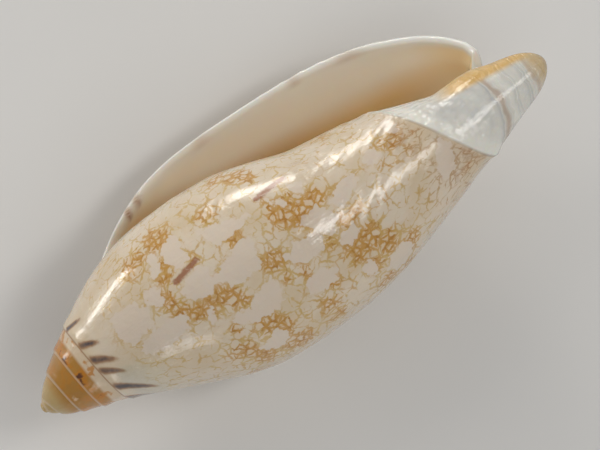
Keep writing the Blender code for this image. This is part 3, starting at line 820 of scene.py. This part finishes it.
def streaks():
    """Darkness of the streaks at each corner, 0 to 1."""
    below = below_suture()
    lean = turn - STREAK_LEAN * below
    dark = np.zeros(len(turn))
    rng = np.random.default_rng(5)
    placed = []
    for x, y, width, length, strength in STREAKS:
        arc_at, along_at = seen(x + 0.5, y)
        stage = float(np.interp(arc_at, GROWN, SUTURE_TABLE_AT))
        placed.append((stage - STREAK_LEAN * (along_at - float(suture_at(stage))), width, length, strength))
    hidden = (np.arange(-0.99, SEEN_FROM, STREAK_STEP), np.arange(SEEN_TO - 0.03, 0.0, STREAK_STEP))
    for stage in np.concatenate(hidden):
        placed.append((stage + rng.uniform(-0.008, 0.008), rng.uniform(0.6, 0.95), rng.uniform(3.2, 6.5),
                       rng.uniform(0.7, 1.0)))
    for stage, width, length, strength in placed:
        away = (lean - stage) * 2 * np.pi * STREAK_RADIUS / (1.15 - 0.65 * np.clip(below / length, 0, 1))
        window = ease(below, -0.1, 0.5) * (1 - ease(below, 0.55 * length, 1.1 * length))
        dark = np.maximum(dark, strength * np.exp(-(away / width) ** 2) * window)
    return np.where((turn > -1.02) & (side == OUTSIDE), dark, 0)


def bars():
    """Nearness to a reddish bar, 0 to 1."""
    near = np.zeros(len(turn))
    for start, end in BARS:
        away = to_segment(arc, along, seen(*start), seen(*end))
        near = np.maximum(near, np.exp(-away / BAR_WIDTH ** 2))
    return np.where(side == OUTSIDE, near, 0)


STAINS = ((76.3, 3.8, 2.6, 0.9), (74.2, 7.0, 1.6, 0.5), (77.2, 0.2, 1.8, 0.6), (85.2, -5.2, 2.6, 1.0),
          (82.0, -7.2, 2.0, 0.7), (66.0, 11.3, 2.0, 0.5), (71.2, 10.6, 1.6, 0.5), (55.2, 3.0, 2.6, 0.6),
          (87.5, -6.8, 1.6, 0.8), (60.0, 9.9, 1.5, 0.4))     # x, y as seen, radius, strength
LIP_MARKS = ((30.9, 0.5, 1.0), (33.4, 0.6, 0.8), (48.4, 1.6, 0.25), (67.8, 1.2, 0.35),
             (78.2, 2.6, 0.35))        # place along the shell, half width, strength


def lip_marks():
    """Brown ends of the pattern on the edge of the lip, 0 to 1."""
    total = np.zeros(len(turn))
    for x, half, strength in LIP_MARKS:
        total = np.maximum(total, strength * np.exp(-((along - x) / half) ** 2))
    return total * np.where(side == RIM, 1.0, np.where(side == LINING, ease(turn, -0.012, -0.002), 0.0))


keep("streak", streaks())
keep("bar", bars())
keep("below", below_suture())
keep("past_edge", np.where(side >= TONGUE, 20.0, along - edge_at(turn)))
keep("within", np.where((side == LINING) | (side == RIM), 1.0, 0.0))
keep("deep", np.where(side == LINING, -turn, np.where((turn < -1.0) & (row >= JOIN_ROW), -1.0 - turn, 0.0)))
keep("stain", np.where(side == OUTSIDE, soft_spots(STAINS, arc, along), 0))
keep("lip_mark", lip_marks())
keep("grown", arc)
print("streaks at the suture:", len(STREAKS), "placed by hand")

# %% [markdown]
# ## A small language for paint
# A shader is a set of nodes, but a sum reads better as a sum. `Value` wraps a node's output, so that
# ordinary operators add Math nodes, and `Paint.node` adds any other node from its type, its settings and its
# inputs. `Paint.layers` lays colours over each other, as a painter would.

# %% Paint
class Value:
    """A node's output that can be used in sums."""

    def __init__(self, paint, link):
        self.paint, self.link = paint, link

    def maths(self, operation, first, second):
        return self.paint.node("ShaderNodeMath", {"operation": operation}, {0: first, 1: second})

    def __add__(self, other):
        return self.maths("ADD", self, other)

    def __sub__(self, other):
        return self.maths("SUBTRACT", self, other)

    def __rsub__(self, other):
        return self.maths("SUBTRACT", other, self)

    def __mul__(self, other):
        return self.maths("MULTIPLY", self, other)

    def higher(self, other):
        return self.maths("MAXIMUM", self, other)

    __radd__, __rmul__ = __add__, __mul__


class Paint:
    """One material: a Principled shader and the nodes that feed it."""

    def __init__(self, name, **constants):
        self.material = bpy.data.materials.new(name)
        self.material.use_nodes = True
        self.tree = self.material.node_tree
        self.shader = self.tree.nodes["Principled BSDF"]
        for socket, value in constants.items():
            self.shader.inputs[socket.replace("_", " ")].default_value = value

    def node(self, kind, settings=None, inputs=None, output=0):
        made = self.tree.nodes.new(kind)
        for key, value in (settings or {}).items():
            setattr(made, key, value)
        for key, value in (inputs or {}).items():
            if isinstance(value, Value):
                self.tree.links.new(value.link, made.inputs[key])
            else:
                made.inputs[key].default_value = value
        return Value(self, made.outputs[output])

    def feed(self, socket, value):
        self.tree.links.new(value.link, self.shader.inputs[socket])

    def kept(self, name, output="Fac"):
        return self.node("ShaderNodeAttribute", {"attribute_name": name}, output=output)

    def step(self, value, low, high):
        """0 below low, 1 above high, smooth between."""
        return self.node("ShaderNodeMapRange", {"interpolation_type": "SMOOTHSTEP"},
                         {"Value": value, "From Min": low, "From Max": high})

    def between(self, value, start, full, fall, end):
        return self.step(value, start, full) * (1 - self.step(value, fall, end))

    def layers(self, base, *laid_over):
        """Colours laid over a base in turn, each where its mask is 1."""
        for colour, mask in laid_over:
            base = self.node("ShaderNodeMix", {"data_type": "RGBA"}, {0: mask, 6: base, 7: colour}, output=2)
        return base

    def vector(self, operation, first, inputs, output=0):
        return self.node("ShaderNodeVectorMath", {"operation": operation}, {0: first, **inputs}, output)

    def noise(self, where, scale, detail=2.0, output=0):
        inputs = {"Vector": where, "Scale": scale, "Detail": detail}
        return self.node("ShaderNodeTexNoise", None, inputs, output)

    def cell_edge(self, where, size):
        """Distance to the nearest edge of a net of cells, in mm."""
        settings = {"voronoi_dimensions": "2D", "feature": "DISTANCE_TO_EDGE"}
        return size * self.node("ShaderNodeTexVoronoi", settings, {"Vector": where, "Scale": 1 / size})


print("paint kit ready")

# %% [markdown]
# ## Colours of the shell
# The real shell carries its colours in the outermost layer of a glossy sheet. A coat over the paint gives
# the gloss, and a little light scatters below the surface, which keeps a pale shell from looking like
# plaster. All the paint below is steered by millimetres along the shell and by the numbers at its corners.

# %% Colours
CREAM = (0.68, 0.55, 0.38, 1)
WHITE = (0.73, 0.62, 0.48, 1)
TENT_WHITE = (0.73, 0.62, 0.51, 1)
ORANGE = (0.53, 0.265, 0.03, 1)
DEEP_ORANGE = (0.38, 0.15, 0.015, 1)
TAN_LINE = (0.58, 0.38, 0.10, 1)
RED_BROWN = (0.33, 0.12, 0.05, 1)
WASH = (0.72, 0.48, 0.24, 1)
STAIN = (0.44, 0.27, 0.16, 1)
SMOKE = (0.06, 0.055, 0.07, 1)
HALO_BROWN_AND_CREASE_SHADE = (0.33, 0.15, 0.05, 1)
HONEY = (0.43, 0.21, 0.035, 1)
SPIRE_ORANGE = (0.52, 0.20, 0.012, 1)
SPIRE_CREAM_AND_HIGHLIGHT = (0.70, 0.57, 0.41, 1)
SPIRE_DARK = (0.12, 0.04, 0.015, 1)
NUCLEUS = (0.52, 0.37, 0.16, 1)
CALLUS_AND_HIGHLIGHT = (0.84, 0.82, 0.74, 1)
ENAMEL = (0.76, 0.74, 0.67, 1)
BLUE_GREY_SHADE = (0.44, 0.45, 0.46, 1)
YELLOW = (0.74, 0.46, 0.13, 1)
OCHRE = (0.62, 0.43, 0.18, 1)
LIP_WHITE_AND_PAINTED_LIGHT = (0.86, 0.84, 0.78, 1)
INNER_CREAM = (0.92, 0.83, 0.68, 1)
INNER_TAN = (0.84, 0.56, 0.21, 1)
INNER_YELLOW = (0.88, 0.68, 0.38, 1)
print("the ground's mix of red, green and blue:", CREAM[:3])

# %% Gloss, and what the paint reads
paint = Paint("shell_gloss", Roughness=0.16, Coat_Weight=0.5, Coat_Roughness=0.04, Coat_IOR=1.5, IOR=1.5,
              Subsurface_Weight=0.3, Subsurface_Radius=(1.0, 0.65, 0.4), Subsurface_Scale=0.0025)
lies = paint.kept("spot", "Vector")
x_at, y_at = (paint.node("ShaderNodeSeparateXYZ", None, {0: lies}, output) for output in (0, 1))
arc_at, tent, lace, below, past, deep, turned = (
    paint.kept(name) for name in ("grown", "tent", "lace", "below", "past_edge", "deep", "turn"))
chart = paint.node("ShaderNodeCombineXYZ", None, {"X": arc_at, "Y": x_at})
print(len(shell_mesh.attributes), "attributes on the mesh")

# %% [markdown]
# ## Net and tents
# The net is three nets of cells, fine, middling and wide, bent by noise so that no line is straight. Each is
# drawn where the lace is dense enough for it, and a second noise makes its lines swell and break. The tents
# stay open and get a broken outline. Darker knots sit here and there on the finest lines.

# %% Net and tents
NET_CELLS = (1.45, 2.2, 3.3)           # sizes, mm
wobble = paint.vector("SCALE", paint.noise(chart, 0.8, 3.0, output=1), {"Scale": 1.1})
bent = paint.vector("ADD", chart, {1: wobble})
fine_edge, middle_edge, wide_edge = (paint.cell_edge(bent, size) for size in NET_CELLS)
ragged = paint.noise(chart, 0.42, 4.0)
rough = (paint.noise(chart, 1.4, 3.0) - 0.5) * 0.55
density = lace + (ragged - 0.5) * 1.2
cluster, some = paint.step(density, 0.08, 0.5), paint.step(density, -0.15, 0.25)
tent_edge = tent + (paint.noise(chart, 0.8, 4.0) - 0.5) * 3.0
outline = paint.between(tent_edge + rough, -0.1, 0.1, 0.35, 0.75) * paint.step(density, -0.1, 0.3) * 0.85
middling = paint.step(density, -0.18, 0.22)
fine_lines = paint.step(cluster * 0.36 - 0.17 + rough - fine_edge, -0.15, 0.08)
middle_lines = paint.step(middling * 0.30 - 0.16 + rough - middle_edge, -0.14, 0.10) * 0.8
sparse = paint.step(paint.noise(chart, 0.28), 0.36, 0.56)
wide_lines = paint.step(some * 0.15 + sparse * 0.28 - 0.19 + rough - wide_edge, -0.16, 0.12)
wide_lines = wide_lines * (0.5 + 0.4 * some)
on_body = paint.step(below, 3.5, 9.0) * (1 - paint.step(past, -1.5, 0.2)) * (1 - paint.step(deep, 0.0, 0.05))
open_ground = paint.step(tent_edge, -0.1, 0.25)
netted = open_ground * on_body
net = fine_lines.higher(middle_lines).higher(wide_lines).higher(outline) * netted
knots = fine_lines * paint.step(paint.noise(chart, 0.9), 0.48, 0.64) * netted

line_colour = paint.layers(
    TAN_LINE,
    (ORANGE, paint.step(paint.noise(chart, 0.3) + lace * 0.45, 0.45, 0.8)),
    (STAIN, paint.step(x_at, 72, 80) * 0.75))
ground = paint.layers(
    CREAM,
    (WHITE, paint.step(paint.noise(lies, 0.12, 3.0), 0.35, 0.6)),
    (TENT_WHITE, (1 - open_ground) * 0.8),
    (WASH, cluster * netted * 0.28),
    (STAIN, paint.kept("stain") * paint.step(paint.noise(lies, 0.9, 4.0), 0.36, 0.62) * 0.75),
    (line_colour, net * 0.88),
    (DEEP_ORANGE, knots * 0.5),
    (RED_BROWN, paint.step(paint.kept("bar") + rough * 1.2, 0.2, 0.75) * 0.85))
print("net, tents and wash painted")

# %% [markdown]
# ## Suture and spire
# The streaks are smoke-grey with a brown halo, and uneven, because the animal laid them down in pulses. A thin
# dark line along the last suture is painted shade in its crease. The early whorls are honey-coloured and
# mottled, with a pale band low on them and dark flecks above it, and a pale line at each of their sutures is
# partly their own cream and partly a painted highlight on the step there.

# %% Suture and spire
streak = paint.kept("streak") * (0.45 + paint.noise(lies, 1.1, 3.0))
ground = paint.layers(
    ground,
    (HALO_BROWN_AND_CREASE_SHADE, paint.step(streak, 0.02, 0.4) * 0.8),
    (SMOKE, paint.step(streak, 0.22, 0.9) * 0.9),
    # thin dark line along the last suture: painted shade in its crease, in brown
    (HALO_BROWN_AND_CREASE_SHADE, paint.between(below, -0.1, 0.0, 0.12, 0.35) * 0.7))

mottled = paint.noise(lies, 0.42, 3.0)
pale_band = paint.step(below, 1.9, 2.6) * (1 - paint.step(mottled, 0.54, 0.62) * 0.8)
flecks = paint.between(below, 0.2, 0.5, 1.0, 1.9) * paint.step(mottled, 0.58, 0.66)
spire = paint.layers(
    HONEY,
    (SPIRE_ORANGE, paint.step(mottled, 0.44, 0.58) * paint.step(turned, -3.2, -2.2)),
    (SPIRE_CREAM_AND_HIGHLIGHT, pale_band * paint.step(turned, -2.0, -1.8) * 0.9),
    (SPIRE_DARK, flecks * paint.step(turned, -2.2, -1.9)),
    (NUCLEUS, 1 - paint.step(x_at, 2.5, 5.0)),
    # pale line at each suture of the spire: partly the spire's cream, partly a painted highlight on the step
    (SPIRE_CREAM_AND_HIGHLIGHT, paint.between(below, -0.1, 0.05, 0.2, 0.5) * 0.5))
last_whorl = paint.step(turned, -1.02, -1.0)
ground = paint.layers(ground, (spire, 1 - last_whorl))
print("suture and spire painted")

# %% [markdown]
# ## Front end
# Past the fasciole's edge the shell is bare white enamel. Its growth lines run in arches, so rings round one
# spot stand for them, in white and tan, with blue-grey arches and patches that are painted shade of the
# enamel's lobes. The white strip along the fasciole's edge is its callus, brightened by a painted highlight.
# A yellow crest and an ochre tip end it.

# %% Front end
FRONT_CENTRE = (83.0, 0.5, 5.0)        # mm
rings = paint.vector("DISTANCE", lies, {1: FRONT_CENTRE}, output=1) + (paint.noise(lies, 0.25) - 0.5) * 2.2
arched = paint.noise(paint.node("ShaderNodeCombineXYZ", None, {"X": rings}), 0.8, 4.0)
outer = paint.step(rings, 9.0, 11.5)
tan_lines = paint.between(rings, 11.0, 11.6, 11.8, 12.5) + paint.between(rings, 18.2, 18.8, 19.0, 19.8) * 0.7
crest = paint.between(y_at + (x_at - 86.6) * 0.12, 4.0, 5.2, 6.6, 7.8) * paint.step(x_at, 84, 90)
enamel = paint.layers(
    ENAMEL,
    # blue-grey arches and patches: painted shade of the enamel's arched lobes
    (BLUE_GREY_SHADE, paint.step(arched, 0.46, 0.70) * outer * 0.65),
    (BLUE_GREY_SHADE, paint.step(paint.noise(lies, 0.22), 0.45, 0.62) * (1 - outer) * 0.3),
    # white strip past the fasciole's edge: the callus, brightened by a painted highlight
    (CALLUS_AND_HIGHLIGHT, 1 - paint.step(past, 1.5, 3.4)),
    (CALLUS_AND_HIGHLIGHT, paint.between(rings, 12.4, 13.2, 13.8, 15.0) * 0.7),
    (STAIN, tan_lines * paint.step(past, 2.0, 3.6) * 0.55),
    (YELLOW, crest * 0.9),
    (OCHRE, paint.step(x_at + rings * 0.5 + y_at * 0.15 + ragged * 3.0, 111.0, 115.5) * 0.8))
front_mask = paint.step(past, -0.4, 0.3)
ground = paint.layers(ground, (enamel, front_mask * last_whorl))
print("front end painted")

# %% [markdown]
# ## Aperture, lip and polish
# Inside, the wall goes from white at the lip through cream to tan in the depth, and yellow toward the front.
# The lighter band on the lip's side of the lining is partly the lip's own white and partly painted light
# shining through the thin lip.
# A faint relief of growth lines and dimples, smoother in the aperture, keeps the reflections from looking
# machined.

# %% Aperture and lip
toward_lip = y_at + (x_at - 51) * 0.117
tanned = (1 - paint.step(toward_lip, 13.2, 18.5)) * (0.9 - 0.4 * paint.step(x_at, 78, 92))
aperture = paint.layers(
    INNER_CREAM,
    (INNER_TAN, tanned),
    (INNER_YELLOW, paint.step(x_at, 86, 94) * 0.7),
    # lighter toward the lip: partly the lip's own white, partly painted light shining through the thin lip
    (LIP_WHITE_AND_PAINTED_LIGHT, paint.step(toward_lip, 18.5, 23.0) * 0.6))
aperture = paint.layers(
    LIP_WHITE_AND_PAINTED_LIGHT,
    (aperture, paint.step(deep, 0.0, 0.02)),
    (HALO_BROWN_AND_CREASE_SHADE, paint.kept("lip_mark") * 0.8))
lined = paint.step(paint.kept("within"), 0.3, 0.7)
paint.feed("Base Color", paint.layers(
    ground, (aperture, lined), (INNER_CREAM, paint.step(deep, 0.0, 0.08) * (1 - lined))))

stretched = paint.node("ShaderNodeMapping", None, {"Vector": chart, "Scale": (3.0, 0.12, 1.0)})
waves = (paint.noise(stretched, 1.0, 3.0) * 0.3 + paint.noise(chart, 0.45, 3.0) * 1.3
         + arched * front_mask * outer * 10.0 + paint.noise(lies, 0.28) * front_mask * 9.0)
relief = waves * (1 - lined * 0.85)
bump = {"Strength": 0.5, "Distance": 0.0003, "Height": relief}
paint.feed("Normal", paint.node("ShaderNodeBump", None, bump))
shell_mesh.materials.append(paint.material)
print("aperture painted")

# %% [markdown]
# ## Floor, light and camera
# The shell lies on a plain pale floor. Two low window-like lights on the lip's side draw the highlights
# along the shoulder, one above lights the front end, and a weak one lifts the far side. Two more give soft
# light without reflections of their own, and the sky fills the rest. The camera looks almost straight down,
# turned so that the shell runs up to the right.

# %% Stage
FLOOR_COLOURS = (0.78, 0.77, 0.75, 1), (0.74, 0.73, 0.71, 1)
SKY_COLOUR, SKY_STRENGTH = (0.93, 0.96, 1.0, 1), 0.26
RIGHT = Vector((0.8214775, -0.57024092, 0.0))    # the picture's right and up, along the axis
UP = Vector((0.57024092, 0.8214775, 0.0))
BACK = Vector((0.0, 0.0, 1.0))
IMAGE_WIDTH = 102.9                              # what the picture's width spans at the shell, mm
LIT_SPOT = (52, 0, 8)                            # what the lights point at, mm
WINDOW, DAYLIGHT, PALE = (1.0, 0.97, 0.92), (1.0, 0.97, 0.93), (1.0, 0.98, 0.95)


def laid(point):
    """A point given along the axis in mm, in the laid-down shell's frame in metres."""
    return LAID @ (Vector(point) * MM) + SHIFT


bm = bmesh.new()
bmesh.ops.create_grid(bm, x_segments=1, y_segments=1, size=2.0)
floor = add_mesh("floor", bm)
matte = Paint("pale_floor", Roughness=0.75)
cloudy = matte.noise(matte.node("ShaderNodeTexCoord", output=3), 6.0)
matte.feed("Base Color", matte.layers(FLOOR_COLOURS[0], (FLOOR_COLOURS[1], cloudy)))
floor.data.materials.append(matte.material)

world = bpy.data.worlds.new("studio")
bpy.context.scene.world = world
world.use_nodes = True
sky = world.node_tree.nodes["Background"].inputs
sky["Color"].default_value, sky["Strength"].default_value = SKY_COLOUR, SKY_STRENGTH


def softbox(name, toward, away, size, power, colour):
    """A rectangular light; toward is its direction from the shell, along the axis."""
    data = bpy.data.lights.new(name, "AREA")
    data.shape, data.size, data.size_y = "RECTANGLE", size[0], size[1]
    data.energy, data.color = power, colour
    light = add(name, data)
    out, axis = (LAID @ Vector(toward)).normalized(), LAID @ Vector((1, 0, 0))
    level = (axis - out * axis.dot(out)).normalized()
    matrix = Matrix((level, out.cross(level), out)).transposed().to_4x4()
    matrix.translation = laid(LIT_SPOT) + out * away
    light.matrix_world = matrix
    light.visible_camera = False
    return light


softbox("window_apex_side", (-0.62, 0.78, 0.06), 0.6, (0.20, 0.07), 0.6, WINDOW)
softbox("window_front_side", (0.26, 0.95, 0.10), 0.6, (0.22, 0.13), 0.95, WINDOW)
softbox("front_fill", (0.55, -0.14, 0.80), 0.7, (0.34, 0.12), 1.0, PALE)
softbox("far_fill", (-0.56, -0.74, 0.36), 0.8, (0.22, 0.22), 0.4, DAYLIGHT)
glow = softbox("window_glow", (-0.10, 0.86, 0.50), 0.8, (0.9, 0.5), 1.3, DAYLIGHT)
inner_fill = softbox("inner_fill", (0.05, -0.42, 0.90), 0.8, (0.5, 0.5), 1.15, DAYLIGHT)
glow.visible_glossy = inner_fill.visible_glossy = False     # soft light without reflections of its own

camera_data = bpy.data.cameras.new("camera")
camera_data.lens = camera_data.sensor_width * VIEW_DISTANCE / IMAGE_WIDTH
camera_data.clip_start = 0.01
camera = add("camera", camera_data)
matrix = Matrix((LAID @ RIGHT, LAID @ UP, LAID @ BACK)).transposed().to_4x4()
matrix.translation = laid((VIEW_CENTRE[0], VIEW_CENTRE[1], VIEW_DISTANCE))
camera.matrix_world = matrix
bpy.context.scene.camera = camera
bpy.context.scene.view_settings.view_transform = "Standard"
print("camera", round(camera_data.lens), "mm lens at", [round(value, 2) for value in matrix.translation])
